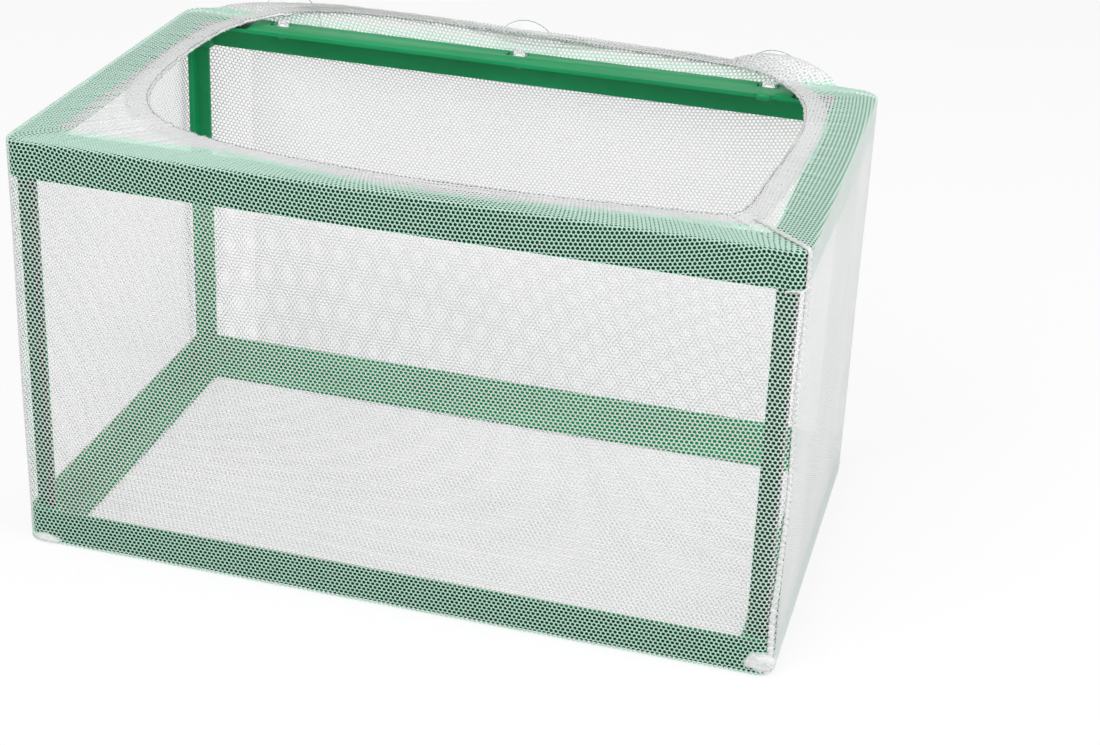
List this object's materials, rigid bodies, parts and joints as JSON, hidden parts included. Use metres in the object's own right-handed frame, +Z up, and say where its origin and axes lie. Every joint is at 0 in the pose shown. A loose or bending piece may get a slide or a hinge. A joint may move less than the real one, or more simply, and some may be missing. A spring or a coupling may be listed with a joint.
{
  "type": "fish breeding box",
  "caption": "Net breeding box for fish: a plastic angle frame inside a white net bag with an elastic mouth, hung by suction cups.",
  "frame": {"origin": "middle of the base, on the underside of the bottom net", "axes": "+X along the box, +Y from the front to the rear, where the suction cups are, +Z up"},
  "size_m": [0.2675, 0.1582, 0.1601],
  "materials": {
    "frame_plastic": "satin green moulding",
    "cup_plastic": "clear soft vinyl",
    "net": "white tulle",
    "elastic": "white elastic",
    "seam_thread": "white doubled tulle and thread"
  },
  "bodies": {
    "box": {"top_ring": "frame_plastic", "bottom_ring": "frame_plastic", "post_front_left": "frame_plastic", "post_front_right": "frame_plastic", "post_rear_left": "frame_plastic", "post_rear_right": "frame_plastic", "net_front": "net", "net_rear": "net", "net_left": "net", "net_right": "net", "net_bottom": "net", "net_corner_front_left": "net", "net_corner_front_right": "net", "net_corner_rear_left": "net", "net_corner_rear_right": "net", "net_collar": "net", "mouth_hem": "net", "mouth_elastic": "elastic", "side_seam": "seam_thread", "corner_tucks": "seam_thread"},
    "suction_cup_left": {"suction_cup_left": "cup_plastic"},
    "suction_cup_middle": {"suction_cup_middle": "cup_plastic"},
    "suction_cup_right": {"suction_cup_right": "cup_plastic"}
  },
  "joints": [
    {"name": "cup_left_swivel", "type": "hinge", "parent": "box", "child": "suction_cup_left", "pos_m": [-0.093, 0.0735, 0.147], "axis": [0, 1, 0], "continuous": true},
    {"name": "cup_middle_swivel", "type": "hinge", "parent": "box", "child": "suction_cup_middle", "pos_m": [0, 0.0735, 0.147], "axis": [0, 1, 0], "continuous": true},
    {"name": "cup_right_swivel", "type": "hinge", "parent": "box", "child": "suction_cup_right", "pos_m": [0.093, 0.0735, 0.147], "axis": [0, 1, 0], "continuous": true}
  ]
}
